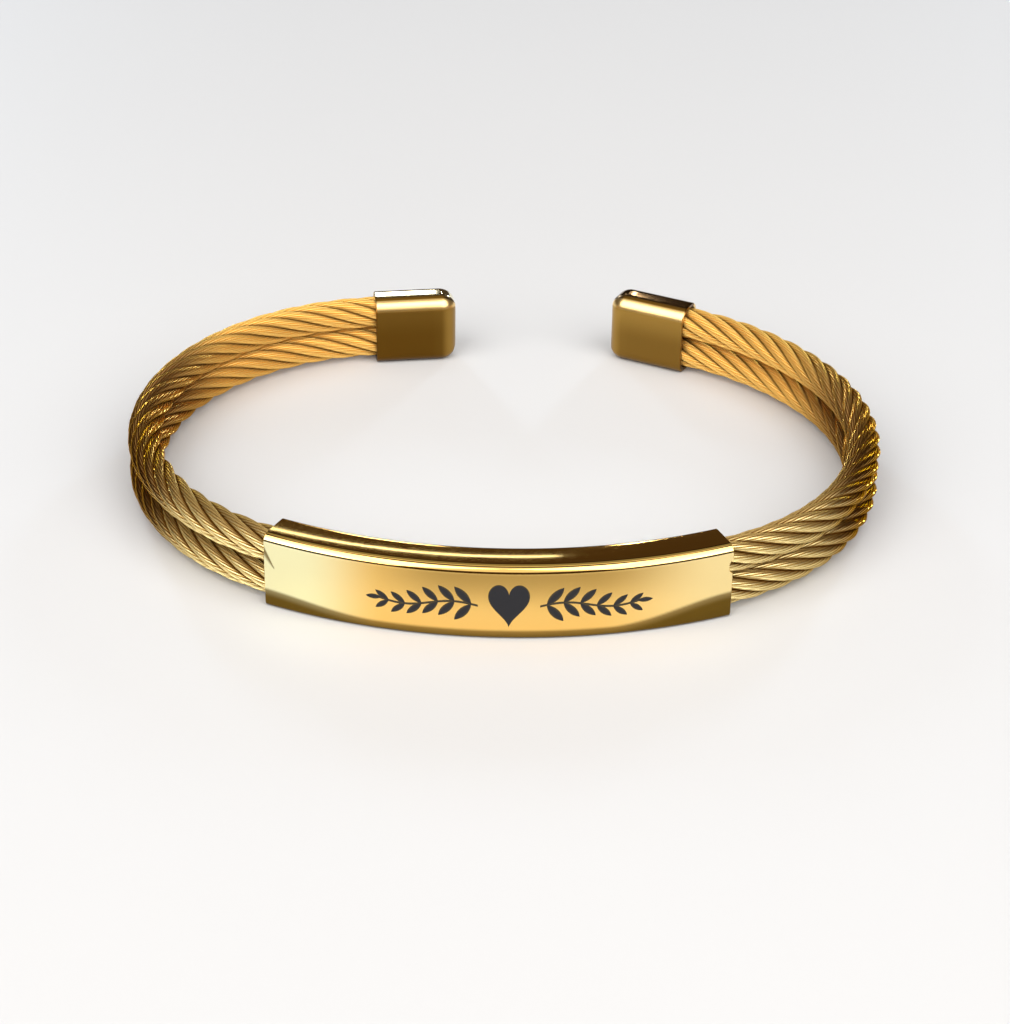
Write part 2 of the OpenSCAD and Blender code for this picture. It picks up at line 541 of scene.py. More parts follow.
@dataclass(frozen=True)
class PolishedGold:
    """Polished gold plating, with faint clouds in its gloss.

    The mesh's mask says where a pale colour is painted in as a reflection, where a dark colour is
    painted in as shade and dark reflection, and where it is brushed to a softer gloss than the mirror
    edges.
    """

    name: str
    warm: Colour
    pale: Colour
    shaded: Colour
    mirror: float = 0.05
    brushed: float = 0.16
    cloud_scale: float = 170.0
    cloud_range: tuple[float, float] = (0.3, 0.7)
    cloud_gloss: float = 0.02
    mark_scale: float = 3000.0
    mark_depth: float = 2e-7

    def material(self) -> bpy.types.Material:
        """Makes the gold: warm to the painted pale reflection by the first mask, then to the painted shade
        by the second.

        Returns:
            The material.
        """
        tree = Tree(self.name)
        pale, shade, soft = tree.masks()
        # The first mask paints in pale reflection, the second paints in shade and dark reflection.
        plain = tree.ramp(pale, self.warm, self.pale)
        cloud = tree.mapped(tree.noise(self.cloud_scale), *self.cloud_range, 0.0, self.cloud_gloss)
        gloss = tree.mapped(soft, 0.0, 1.0, self.mirror, self.brushed)
        tree.grain(self.mark_scale, self.mark_depth)
        return tree.dress(tree.blend(shade, plain, self.shaded), tree.added(gloss, cloud), 1.0)


@dataclass(frozen=True)
class PlatedWire:
    """Gold-plated wire: bright on the crests of the wires, with painted shade and a duller gloss in the
    grooves.

    The mesh's mask says how deep a point lies, how far it is on the way from the front of the cuff,
    where the colour is painted paler as a reflection and the gloss is higher, to the back, where the
    colour is more orange and the gloss is satin, and how far it is into a side bend, where painted
    shade darkens it and a lower roughness makes it sparkle. The rim tints what shows at a glancing
    angle.
    """

    name: str
    front: Colour
    back: Colour
    bend: Colour
    groove: Colour
    rim: Colour
    glossy: float = 0.29
    satin: float = 0.55
    dull: float = 0.2
    sparkle: float = -0.22
    grain_scale: float = 2600.0
    grain_depth: float = 1e-6

    def material(self) -> bpy.types.Material:
        """Makes the wire: front to back by the second mask, the bend's painted shade by the third, then the
        groove's painted shade.

        Returns:
            The material.
        """
        tree = Tree(self.name)
        depth, behind, bend = tree.masks()
        # Crest: painted pale reflection at the front, orange at the back, painted shade in the bends.
        crest = tree.blend(bend, tree.ramp(behind, self.front, self.back), self.bend)
        tree.shader.inputs["Specular Tint"].default_value = (*self.rim, 1)
        tree.grain(self.grain_scale, self.grain_depth)
        gloss = tree.mapped(behind, 0.0, 1.0, self.glossy, self.satin)
        gloss = tree.added(gloss, tree.mapped(depth, 0.0, 1.0, 0.0, self.dull))
        gloss = tree.added(gloss, tree.mapped(bend, 0.0, 1.0, 0.0, self.sparkle))
        # The first mask brings in the groove colour as painted shade.
        return tree.dress(tree.blend(depth, crest, self.groove), gloss, 1.0)


@dataclass(frozen=True)
class DarkEngraving:
    """Slate-dark engraved marking with an olive rim where it meets the gold."""

    name: str
    dark: Colour
    rim: Colour
    rough: float = 0.5
    specular: float = 0.25
    grain_scale: float = 7000.0
    grain_depth: float = 1e-6

    def material(self) -> bpy.types.Material:
        """Makes the marking: the first mask, 1 at the outline, brings in the rim's colour.

        Returns:
            The material.
        """
        tree = Tree(self.name)
        edge, _, _ = tree.masks()
        tree.shader.inputs["Specular IOR Level"].default_value = self.specular
        tree.grain(self.grain_scale, self.grain_depth)
        return tree.dress(tree.ramp(edge, self.dark, self.rim), self.rough, 0.0)


@dataclass(frozen=True)
class PaleFloor:
    """Plain matt pale floor with a faint mottle."""

    name: str
    light: Colour
    shade: Colour
    rough: float = 0.6
    specular: float = 0.2
    mottle_scale: float = 9.0

    def material(self) -> bpy.types.Material:
        """Makes the floor.

        Returns:
            The material.
        """
        tree = Tree(self.name)
        tree.shader.inputs["Specular IOR Level"].default_value = self.specular
        return tree.dress(tree.ramp(tree.noise(self.mottle_scale), self.shade, self.light), self.rough, 0.0)


def finished(piece: bpy.types.Object, finish: Finish, node: str | None) -> bpy.types.Object:
    """Dresses a piece and ties it to the frame.

    Args:
        piece: The piece.
        finish: Its finish.
        node: The solid that it stands for, if any.

    Returns:
        The piece.
    """
    piece.data.materials.append(finish.material())
    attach(piece, BODY)
    if node is not None:
        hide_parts(node)
    return piece


@dataclass
class Cable:
    """Twisted cable, in mm: seven strands round a core, each with an outer layer of twelve fine wires.

    The strands wind one way round the cable and the wires wind the other way round their strand, so
    the wires run nearly along the cable. A pair of numbers is the start and the end of an easing: of
    the depth under the cable's outside, of the lean, of the place along Y, or of that along X.
    """

    name: str
    node: str
    path: CuffPath
    finish: Finish
    start_turn: float
    strands: int = 7
    wires: int = 12
    wire_steps: int = 4
    strand_pitch: float = 19.0
    wire_pitch: float = 7.75
    core_share: float = 0.42
    core_steps: int = 12
    ring_step: float = 0.5
    hidden_step: float = 1.4
    hidden_start: float = 1.2
    # Easings and shares of the painted shade: grooves, valleys, upper sides and bends.
    groove_depth: tuple[float, float] = (0.13, 0.35)
    painted_valley_shade: float = 0.4
    deepen: float = 1.2
    back_fill: float = 0.3
    top_shade: float = 0.5
    top_start: tuple[float, float] = (0.5, 0.9)
    # Front to back along Y: the front is painted paler as a reflection.
    turn_orange: tuple[float, float] = (-12.0, 8.0)
    # Painted shade in the side bends, by X.
    painted_bend_shade: tuple[float, float] = (25.5, 30.5)

    def stations(self) -> Array:
        """Spaces the rings: closely where the cable shows, and widely inside the bar and the caps.

        Returns:
            Signed distances along the cuff's middle line, in mm.
        """
        bar_end = self.path.bar.length - self.hidden_start
        left = -self.path.reach(Side.LEFT)
        right = self.path.reach(Side.RIGHT)
        stretches = (
            (left - self.path.socket, left - self.hidden_start, self.hidden_step),
            (left - self.hidden_start, -bar_end, self.ring_step),
            (-bar_end, bar_end, self.hidden_step),
            (bar_end, right + self.hidden_start, self.ring_step),
            (right + self.hidden_start, right + self.path.socket, self.hidden_step),
        )
        parts = [np.linspace(a, b, max(2, round((b - a) / step)), endpoint=False) for a, b, step in stretches]
        return np.append(np.concatenate(parts), right + self.path.socket)

    def strand_section(self, strand_r: float) -> tuple[Array, Array]:
        """Works out the outline of a ring of wires that touch, which has a lobe for each wire.

        At an angle a from the middle of a wire, the outline lies at the ring's radius times the cosine
        of a, plus the root of the wire's radius squared less the square of the ring's radius times the
        sine of a. That is where a ray from the strand's middle leaves the wire.

        Args:
            strand_r: Outer radius of the strand in mm.

        Returns:
            Angles round the strand, and radii in mm.
        """
        half = math.pi / self.wires
        ring_r = strand_r / (1 + math.sin(half))
        within = np.linspace(-half, half, self.wire_steps, endpoint=False)
        leaves = np.clip((strand_r - ring_r) ** 2 - (ring_r * np.sin(within)) ** 2, 0, None)
        lobe = ring_r * np.cos(within) + np.sqrt(leaves)
        turns = np.arange(self.wires) * TURN / self.wires
        return (turns[:, None] + within).ravel(), np.tile(lobe, self.wires)

    def masked(self, points: Array, groove: Array, valley: Array, lean: Array) -> Array:
        """Works out the masks.

        The first is the painted shade, which is one less a power of the light that is left. The groove
        between strands takes light away, less so at the back, and at the front so do the valley
        between wires and the strands' upper sides. The second eases from 0 at the front of the cuff,
        where the colour is painted paler as a reflection, to 1 at its back, and at the front it is the
        share of the light that is lost, so that painted shade turns towards the orange of the back. The
        third eases from 0 to 1 towards each side, where painted shade darkens the bends.

        Args:
            points: Grid of points, rings by points around.
            groove: Depth share of each point in the groove between strands.
            valley: Depth share of each point in the valley between wires.
            lean: Height of each point over its strand's middle, over its distance from there.

        Returns:
            Three numbers for each point.
        """
        behind = smooth_step(points[..., 1], *self.turn_orange)
        # Painted shade in the side bends.
        bend = smooth_step(np.abs(points[..., 0]), *self.painted_bend_shade)
        # Painted shade on the strands' upper sides, at the front only.
        top = self.top_shade * smooth_step(lean, *self.top_start) * (1 - behind)
        kept = 1 - self.back_fill * behind
        light = (1 - groove * kept) * (1 - self.painted_valley_shade * valley * (1 - behind)) * (1 - top)
        # At the front, painted shade turns the colour towards the orange of the back.
        warm = behind + (1 - behind) * (1 - light)
        return stacked(1 - light**self.deepen, warm, bend)

    def strand_surfaces(self, level: float, cable_r: float) -> list[Surface]:
        """Winds the strands.

        Strands that touch have the sine s of half their share of a turn, and a radius of the cable's
        times s over 1 plus s. A strand's middle goes round the cable's middle at the cable's radius
        less its own, one turn a pitch. Its section turns the other way, one turn a wire pitch, in the
        plane square to the strand's own direction. At an angle a round the section, a point of the
        strand's outside lies from the cable's middle at the root of the squares of both radii plus
        twice their product times the cosine of a, and that gives the depth of the groove.

        Args:
            level: Height of the cable's middle above the cuff's middle line, in mm.
            cable_r: Outer radius of the cable in mm.

        Returns:
            One closed surface for each strand.
        """
        distance = self.stations()
        stations = self.path.at(distance)
        sine = math.sin(math.pi / self.strands)
        strand_r = cable_r * sine / (1 + sine)
        ring_r = cable_r - strand_r
        start = self.start_turn + np.arange(self.strands)[:, None] * TURN / self.strands
        turn = (start - distance * TURN / self.strand_pitch)[..., None]
        radial = np.cos(turn) * stations.outward + np.sin(turn) * UP
        around = np.sin(turn) * stations.outward - np.cos(turn) * UP
        middle = stations.point + level * UP + ring_r * radial
        across = around - ring_r * TURN / self.strand_pitch * stations.along
        across /= np.linalg.norm(across, axis=-1, keepdims=True)
        angle, radius = self.strand_section(strand_r)
        spin = angle - (distance * TURN / self.wire_pitch)[:, None]
        x = (radius * np.cos(spin))[..., None]
        y = (radius * np.sin(spin))[..., None]
        grids = middle[:, :, None] + x * radial[:, :, None] + y * across[:, :, None]
        reach = np.sqrt(ring_r**2 + strand_r**2 + 2 * ring_r * strand_r * np.cos(spin))
        groove = smooth_step(cable_r - reach, *self.groove_depth)
        valley = (strand_r - radius) / np.ptp(radius)
        leans = (grids[..., 2] - middle[:, :, None, 2]) / radius
        return [
            Surface(g, first_pole=m[0], last_pole=m[-1], mask=self.masked(g, groove, valley, lean))
            for g, m, lean in zip(grids, middle, leans)
        ]

    def core(self, level: float, cable_r: float) -> Surface:
        """Works out the round core that the strands lie on, painted as dark as a groove's painted shade.

        Args:
            level: Height of the cable's middle above the cuff's middle line, in mm.
            cable_r: Outer radius of the cable in mm.

        Returns:
            The closed surface.
        """
        distance = self.stations()[::2]
        turn = np.linspace(0, TURN, self.core_steps, endpoint=False)
        radius = cable_r * self.core_share
        grid = self.path.at(distance[:, None]).carry(radius * np.cos(turn), level + radius * np.sin(turn))
        # Painted shade: the core takes the full groove colour.
        return capped(grid, np.array([1.0, 0.0, 0.0]))

    def build(self) -> bpy.types.Object:
        """Builds the cable in the place of its solid, at the size of the solid's box.

        Returns:
            The piece.
        """
        low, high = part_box(self.node)
        cable_r = (high.z - low.z) / MM / 2
        level = (high.z + low.z) / MM / 2 - self.path.middle[2]
        surfaces = self.strand_surfaces(level, cable_r) + [self.core(level, cable_r)]
        return finished(build_object(self.name, surfaces, sharp_deg=50), self.finish, self.node)


@dataclass
class EngravedBar:
    """Hollow polished bar round both cables, in mm: crowned top, notched right end, dented left end.

    A pair of numbers is the start and the end of an easing: of the distance from the bar's middle, of
    the height, or, for the facing and the edges, of the cosine of the angle from straight ahead.
    """

    path: CuffPath
    finish: Finish
    outline: Outline
    channel: Outline
    edge_bevel: float = 0.06
    end_step: float = 0.08
    end_stretch: float = 1.6
    middle_step: float = 0.4
    channel_rings: int = 40
    notch_depth: float = 0.35
    notch_half: float = 0.6
    notch_rise: float = 1.45
    notch_reach: float = 1.2
    dent_len: float = 0.9
    dent_depth: float = 0.06
    dent_start: float = 1.95
    dent_tip: float = 0.45
    dent_half: float = 0.6
    dent_least: float = 0.05
    dent_taper: float = 0.6
    dent_slope: float = 1.6
    # Painted shade in the dent.
    dent_shade: float = 0.85
    flat_front: float = 0.9
    # Painted pale reflection on the face towards both ends.
    pale_left: tuple[float, float] = (8.5, 15.5)
    pale_right: tuple[float, float] = (7.0, 18.0)
    pale_right_share: float = 0.5
    pale_facing: tuple[float, float] = (0.6, 0.97)
    # Painted dark reflection along the lower edge of the face.
    band_left: tuple[float, float] = (9.0, 18.5)
    band_left_rise: float = 0.85
    band_right: tuple[float, float] = (8.5, 18.5)
    band_right_rise: float = 1.6
    band_edge: float = 0.16
    band_rise: float = 0.8
    band_facing: float = -0.2
    band_light: float = 0.2
    # Painted shade dimming the middle of the face towards its top.
    dim_middle: float = 2.0
    dim_reach: tuple[float, float] = (5.0, 15.0)
    dim_height: tuple[float, float] = (-1.2, 2.6)
    dim_share: float = 0.55
    soft_facing: tuple[float, float] = (0.93, 0.999)
    # Painted dark reflection on the top's front and back edges.
    front_edge_start: tuple[float, float] = (0.02, 0.12)
    front_edge_end: tuple[float, float] = (0.38, 0.5)
    back_edge: tuple[float, float] = (0.02, 0.2)
    back_edge_depth: float = 0.55
    edge_shade: float = 0.9
    name: str = "engraved_bar_polished"
    node: str = "engraved_bar"

    def stations(self) -> Array:
        """Spaces the rings: closely at the bar's ends, and more widely in its middle.

        Returns:
            Distances along the bar, in mm.
        """
        half = self.path.bar.length
        body = half - self.end_stretch
        ends = np.linspace(0, self.end_stretch, round(self.end_stretch / self.end_step), endpoint=False)
        middle = np.linspace(-body, body, round(2 * body / self.middle_step))
        line = np.concatenate([-half + ends, middle, (half - ends)[::-1]])
        line[1] = line[0] + self.edge_bevel
        line[-2] = line[-1] - self.edge_bevel
        return line

    def notched(self, distance: Array, walk: Walk) -> Array:
        """Draws the front wall's right end back by the notch.

        The notch is half an oval over the height, and its pull fades out over its reach.

        Args:
            distance: Distances along the bar, rings by 1.
            walk: Outline of each ring, rings by points.

        Returns:
            Distances, rings by points.
        """
        share = np.clip((distance - self.path.bar.length + self.notch_reach) / self.notch_reach, 0, 1)
        oval = np.sqrt(np.clip(1 - ((walk.up - self.notch_rise) / self.notch_half) ** 2, 0, 1))
        front = np.cos(walk.turn) > self.flat_front
        return distance - self.notch_depth * share * oval * front

    def dent(self, distance: Array, walk: Walk) -> Array:
        """Works out the dent: a wedge that narrows from the left end to its tip.

        Its half height is that at the bar's end times a power of the share of its length still ahead.
        The depth share is a slope times one less a point's distance from the wedge's middle over that
        half height, kept between 0 and 1.

        Args:
            distance: Distances along the bar, rings by 1.
            walk: Outline of each ring, rings by points.

        Returns:
            Depth share of each point.
        """
        inward = (distance + self.path.bar.length) / self.dent_len
        middle = self.dent_start + (self.dent_tip - self.dent_start) * inward
        half = self.dent_half * np.clip(1 - inward, self.dent_least, 1) ** self.dent_taper
        wedge = np.clip(self.dent_slope * (1 - np.abs(walk.up - middle) / half), 0, 1)
        return wedge * (inward < 1) * (np.cos(walk.turn) > self.flat_front)

    def masked(self, distance: Array, walk: Walk, dent: Array) -> Array:
        """Works out the masks of the outside.

        The first is a painted pale reflection on the face towards the ends. The second is painted shade
        and painted dark reflection: of the lower band, which rises towards both ends and is lighter at
        its upper edge, of the dent, of the top's front and back edges, and of the middle of the face,
        which is dimmer towards its top. The third is the brushed gloss of the flat face.

        Args:
            distance: Distances along the bar, rings by 1.
            walk: Outline of each ring, rings by points.
            dent: Depth share of the dent.

        Returns:
            Three numbers for each point.
        """
        facing = np.cos(walk.turn)
        top = self.outline.height / 2
        # Painted pale reflection, growing towards both ends.
        pale = self.pale_right_share * smooth_step(distance, *self.pale_right)
        pale = pale + smooth_step(-distance, *self.pale_left)
        # Painted dark reflection of the lower band, which rises towards both ends.
        rise = self.band_right_rise * smooth_step(distance, *self.band_right)
        rise = rise + self.band_left_rise * smooth_step(-distance, *self.band_left)
        below = self.band_rise - top + rise - walk.up
        band = smooth_step(below, -self.band_edge, self.band_edge) * (facing > self.band_facing)
        band = band * (1 - self.band_light + self.band_light * smooth_step(below, 0.0, self.band_rise))
        # Painted shade dimming the middle of the face towards its top.
        middle = 1 - smooth_step(np.abs(distance - self.dim_middle), *self.dim_reach)
        dim = self.dim_share * middle * smooth_step(walk.up, *self.dim_height)
        soft = smooth_step(facing, *self.soft_facing)
        # Painted dark reflection on the top's front edge, then its back edge.
        front_edge = smooth_step(facing, *self.front_edge_start)
        front_edge = front_edge * (1 - smooth_step(facing, *self.front_edge_end))
        back_edge = smooth_step(-facing, *self.back_edge) * (walk.up > top - self.back_edge_depth)
        edges = self.edge_shade * np.maximum(front_edge * (walk.up > 0), back_edge)
        # All painted shade and dark reflection: band, dim middle, dent and edges.
        parts = np.broadcast_arrays(band, dim * soft, self.dent_shade * dent, edges)
        return stacked(pale * smooth_step(facing, *self.pale_facing), np.maximum.reduce(parts), soft)

    def skin(self) -> Surface:
        """Works out the whole wall as one looped grid.

        The rings run along the outside from end to end, with the first and last drawn in by the
        edge's bevel, and then back through the channel.

        Returns:
            The wall.
        """
        distance = self.stations()
        insets = [self.edge_bevel, *(0.0,) * (len(distance) - 2), self.edge_bevel]
        outside = gathered([self.outline.walk(inset) for inset in insets])
        dent = self.dent(distance[:, None], outside)
        masks = self.masked(distance[:, None], outside, dent)
        stations = self.path.at(self.notched(distance[:, None], outside))
        outer = stations.carry(outside.out - self.dent_depth * dent, outside.up)

        back = np.linspace(distance[-1], distance[0], self.channel_rings)[:, None]
        channel = self.channel.walk()
        inner = self.path.at(self.notched(back, channel)).carry(channel.out, channel.up)
        # Painted shade inside the channel.
        dark = np.broadcast_to(np.array([0.0, 1.0, 0.0]), inner.shape)
        return Surface(np.concatenate([outer, inner]), looped=True, mask=np.concatenate([masks, dark]))

    def build(self) -> bpy.types.Object:
        """Builds the bar in the place of its solid."""
        bar = build_object(self.name, [self.skin()], sharp_deg=32)
        return finished(bar, self.finish, self.node)


@dataclass
class Engraving:
    """Heart between two leafy sprigs, as thin dark plates let into the bar's curved face, in mm."""

    path: CuffPath
    finish: Finish
    face_out: float
    name: str = "engraving_heart_and_sprigs"
    shift: float = 0.98
    drop: float = 0.22
    heart_w: float = 3.3
    heart_h: float = 3.98
    heart_points: int = 72
    heart_rings: tuple[float, float, int] = (0.2, 0.94, 5)
    curve_size: tuple[float, float] = (32.0, 29.0)
    curve_drop: float = 2.5
    sprig_len: float = 9.1
    sprig_gap: float = 0.8
    leaf_pairs: int = 6
    leaf_lead: float = 0.4
    leaf_len: float = 2.1
    leaf_w: float = 0.75
    leaf_shrink: float = 0.4
    leaf_angle: float = 50.0
    leaf_closing: float = 14.0
    leaf_blunt: float = 0.12
    leaf_rows: int = 15
    leaf_columns: int = 7
    rim_power: int = 4
    stem_w: float = 0.2
    stem_wave: float = 0.3
    stem_rows: int = 40
    stem_rim: float = 0.5
    proud: float = 0.004
    depth: float = 0.05

    def wrapped(self, x: Array, z: Array, lift: float) -> Array:
        """Lays flat points on the curved face.

        The angle round the centre of the bar's curve is the arcsine of x over the face's radius. The
        middle of the engraving lies a little to the right of the face's middle, and below it.

        Args:
            x: Distances to the right of the middle of the engraving, in mm.
            z: Heights above the middle of the engraving, in mm.
            lift: Distance out from the face, in mm.

        Returns:
            The points.
        """
        radius = self.path.bar.radius + self.face_out
        angle = np.arcsin((x + self.shift) / radius)
        centre = np.array(self.path.middle) + np.array([0.0, self.path.bar.radius, -self.drop])
        return centre + stacked((radius + lift) * np.sin(angle), -(radius + lift) * np.cos(angle), z)

    def plate(self, x: Array, z: Array, edge: Array) -> Surface:
        """Makes a thin closed plate from a grid on the face.

        Each ring runs along the top of a row of the grid and back along the bottom.

        Args:
            x: Grid of distances to the right, in mm.
            z: Grid of heights.
            edge: Grid of the rim's share, 1 at the outline.

        Returns:
            The plate.
        """
        top, bottom = self.wrapped(x, z, self.proud), self.wrapped(x, z, -self.depth)
        ring = np.concatenate([top, bottom[:, ::-1]], axis=1)
        return capped(ring, stacked(np.concatenate([edge, edge[:, ::-1]], axis=1), 0.0, 0.0))

    def heart(self) -> Surface:
        """Works out the heart.

        Its outline is the heart curve: 16 times the cubed sine of t across, and 13 cosine t less 5
        cosine 2t less 2 cosine 3t less cosine 4t upwards, scaled from its own size and raised by how
        far its middle lies below 0. The rings are the outline shrunk to its middle, by even shares:
        they grow over the top of the plate and shrink again over its bottom.

        Returns:
            The heart's plate.
        """
        curve_w, curve_h = self.curve_size
        t = np.linspace(0, TURN, self.heart_points, endpoint=False)
        x = 16 * np.sin(t) ** 3
        z = 13 * np.cos(t) - 5 * np.cos(2 * t) - 2 * np.cos(3 * t) - np.cos(4 * t)
        share = np.append(np.linspace(*self.heart_rings), 1.0)[:, None]
        x = x * share * self.heart_w / curve_w
        z = (z * share + self.curve_drop) * self.heart_h / curve_h
        grid = np.concatenate([self.wrapped(x, z, self.proud), self.wrapped(x, z, -self.depth)[::-1]])
        edge = (share == 1.0) * np.ones_like(x)
        middle = np.array([self.curve_drop * self.heart_h / curve_h])
        poles = [self.wrapped(np.zeros(1), middle, lift) for lift in (self.proud, -self.depth)]
        mask = stacked(np.concatenate([edge, edge[::-1]]), 0.0, 0.0)
        return Surface(grid, first_pole=poles[0], last_pole=poles[1], mask=mask)

    def leaf(self, root: tuple[float, float], turn: float, size: float, side: Side) -> Surface:
        """Works out a leaf: the lens between two circles, from its root along a direction.

        The circles' radius is the sum of the squares of its length and width over 4 times its width.
        Its rows crowd towards its tips, and the rim's share is a power of the share of the way across.

        Args:
            root: Start of the leaf, across and up from the middle of the engraving, in mm.
            turn: Direction in degrees above the horizontal.
            size: Share of the largest leaf's size.
            side: Side of the heart that it is on.

        Returns:
            The leaf's plate.
        """
        length, width = self.leaf_len * size, self.leaf_w * size
        radius = (length**2 + width**2) / (4 * width)
        turns = np.linspace(self.leaf_blunt, math.pi - self.leaf_blunt, self.leaf_rows)
        along = (1 - np.cos(turns)) / 2 * length
        half = np.sqrt(radius**2 - (along - length / 2) ** 2) - (radius - width / 2)
        across = np.linspace(1, -1, self.leaf_columns)
        u = along[:, None]
        v = half[:, None] * across
        cos, sin = math.cos(math.radians(turn)), math.sin(math.radians(turn))
        x = side.value * (root[0] + u * cos - v * sin)
        z = root[1] + u * sin + v * cos
        return self.plate(x, z, np.abs(across) ** self.rim_power * np.ones_like(u))

    def stem_height(self, share: Array) -> Array:
        """Returns the height of the stem, a sine wave, at shares of its length."""
        return self.stem_wave * np.sin(TURN * share)

    def sprig(self, side: Side) -> list[Surface]:
        """Works out a sprig: the stem, pairs of leaves that shrink and close outwards, and a tip leaf.

        The stem is a narrow strip along a sine wave. The size and the angle of a pair of leaves fall
        evenly with its share of the way along the stem.

        Args:
            side: Side of the heart that it is on.

        Returns:
            The plates.
        """
        start = self.heart_w / 2 + self.sprig_gap
        length = self.sprig_len - self.leaf_len * (1 - self.leaf_shrink)
        share = np.linspace(0, 1, self.stem_rows)[:, None]
        across = np.array([1, 0, -1]) * self.stem_w / 2
        x = side.value * (start + share * length) * np.ones_like(across)
        plates = [self.plate(x, self.stem_height(share) + across, self.stem_rim * np.ones_like(x))]
        for pair in range(self.leaf_pairs):
            u = (pair + self.leaf_lead) / self.leaf_pairs
            root = (start + length * u, float(self.stem_height(np.array(u))))
            turn = self.leaf_angle - self.leaf_closing * u
            plates += [self.leaf(root, sign * turn, 1 - self.leaf_shrink * u, side) for sign in (-1, 1)]
        plates.append(self.leaf((start + length - self.stem_w, 0.0), 0.0, 1 - self.leaf_shrink, side))
        return plates

    def build(self) -> bpy.types.Object:
        """Builds the whole marking as one piece on the bar."""
        surfaces = [self.heart()] + self.sprig(Side.LEFT) + self.sprig(Side.RIGHT)
        return finished(build_object(self.name, surfaces, sharp_deg=40), self.finish, None)


@dataclass
class EndCap:
    """Rounded cap over the ends of both cables, with an open socket, in mm.

    A pair of numbers is the start and the end of an easing: of the height, of the surface's lean, or
    of the distance from the free end.
    """

    side: Side
    path: CuffPath
    finish: Finish
    outline: Outline
    channel: Outline
    face_shade: float
    top_shade: float
    length: float = 7.7
    end_round: float = 1.5
    end_steps: int = 14
    socket: float = 5.0
    mouth_bevel: float = 0.07
    floor_inset: float = 0.9
    straight_rows: int = 8
    # Easings and shares of the painted highlight and the painted shade.
    upper_height: tuple[float, float] = (0.0, 1.0)
    line_start: tuple[float, float] = (0.08, 0.16)
    line_end: tuple[float, float] = (0.46, 0.6)
    face_start: tuple[float, float] = (0.95, 0.997)
    edge_pale: float = 0.3
    face_fade: float = 0.2
    fade_height: tuple[float, float] = (-0.6, 2.3)
    end_light: float = 0.22
    end_light_reach: tuple[float, float] = (1.7, 0.6)

    @property
    def node(self) -> str:
        """Name of the cap's solid."""
        return f"{self.side.name.lower()}_end_cap"

    def sections(self) -> list[tuple[float, Walk]]:
        """Works out the sections in order: socket floor, socket mouth, outside and rounded end.

        Round the free end, a section at the angle a of the rounding is drawn in by the rounding
        times one less the cosine of a, and lies the sine of a further out.

        Returns:
            For each, its distance from the start of the cap and its outline.
        """
        rows = [(self.socket, self.channel.walk(self.floor_inset)), (self.socket, self.channel.walk())]
        rows += [(0.0, self.channel.walk()), (0.0, self.outline.walk(self.mouth_bevel))]
        straight = np.linspace(self.mouth_bevel, self.length - self.end_round, self.straight_rows)
        rows += [(d, self.outline.walk()) for d in straight]
        for turn in np.linspace(0, math.pi / 2, self.end_steps)[1:]:
            inset = self.end_round * (1 - math.cos(turn))
            rows.append((self.length - self.end_round * (1 - math.sin(turn)), self.outline.walk(inset)))
        return rows

    def masked(self, distance: Array, walk: Walk) -> Array:
        """Works out the masks from the surface's lean, 0 where it faces up and 1 where it faces sideways.

        The first is a painted pale highlight on a top that isn't shaded, and a part of that on the bright
        upper edge. The second is painted shade and painted dark reflection: of the faces, more towards
        their lower edges and less towards the free end, of the top, and of the thin line where the top
        turns down. Between that line and the face, the upper edge stays bright. The third is the brushed
        gloss of all but the top.

        Args:
            distance: Distances from the start of the cap, sections by 1.
            walk: Outline of each section, sections by points.

        Returns:
            Three numbers for each point.
        """
        lean = np.abs(np.cos(walk.turn))
        upper = smooth_step(walk.up, *self.upper_height)
        turned = smooth_step(lean, *self.line_start)
        top = upper * (1 - turned)
        line = upper * turned * (1 - smooth_step(lean, *self.line_end))
        face = 1 - upper * (1 - smooth_step(lean, *self.face_start))
        edge = (1 - top) * (1 - line) * (1 - face)
        fall = 1 - self.face_fade * smooth_step(walk.up, *self.fade_height)
        start, end = (self.length - reach for reach in self.end_light_reach)
        near_end = 1 - self.end_light * smooth_step(distance, start, end)
        # Painted shade and dark reflection, then the painted pale highlight.
        shade = self.face_shade * face * fall * near_end + self.top_shade * top + line
        pale = top * (1 - self.top_shade) + self.edge_pale * edge
        return stacked(pale, np.clip(shade, 0, 1), 1 - top)

    def build(self) -> bpy.types.Object:
        """Builds the cap in the place of its solid.

        Returns:
            The piece.
        """
        places, walks = zip(*self.sections())
        distance = np.array(places)[:, None]
        walk = gathered(list(walks))
        grid = self.path.limb(self.side, self.path.reach(self.side) + distance).carry(walk.out, walk.up)
        surface = capped(grid, self.masked(distance, walk))
        piece = build_object(f"{self.node}_polished", [surface], sharp_deg=32)
        return finished(piece, self.finish, self.node)


def direction(azimuth: float, elevation: float) -> Vector:
    """Returns the unit direction at an azimuth from the front, to the right, and a height, in degrees."""
    turn, lift = math.radians(azimuth), math.radians(elevation)
    return Vector((math.sin(turn) * math.cos(lift), -math.cos(turn) * math.cos(lift), math.sin(lift)))


@dataclass(frozen=True)
class Panel:
    """Soft light panel, placed by direction and distance from the middle of the bangle, in metres."""

    name: str
    azimuth: float
    elevation: float
    distance: float
    width: float
    height: float
    radiance: float
    colour: Colour = (1.0, 1.0, 1.0)

    def build(self, target: Vector) -> bpy.types.Object:
        """Makes the panel, which faces the target. Its power is pi times its radiance and its area.

        Args:
            target: Point that it faces.

        Returns:
            The light.
        """
        light = bpy.data.lights.new(self.name, "AREA")
        light.shape = "RECTANGLE"
        light.size, light.size_y = self.width, self.height
        light.energy = math.pi * self.radiance * self.width * self.height
        light.color = self.colour
        panel = bpy.data.objects.new(self.name, light)
        panel.location = target + self.distance * direction(self.azimuth, self.elevation)
        panel.rotation_euler = (target - panel.location).to_track_quat("-Z", "Y").to_euler()
        panel.visible_camera = False
        bpy.context.scene.collection.objects.link(panel)
        return panel


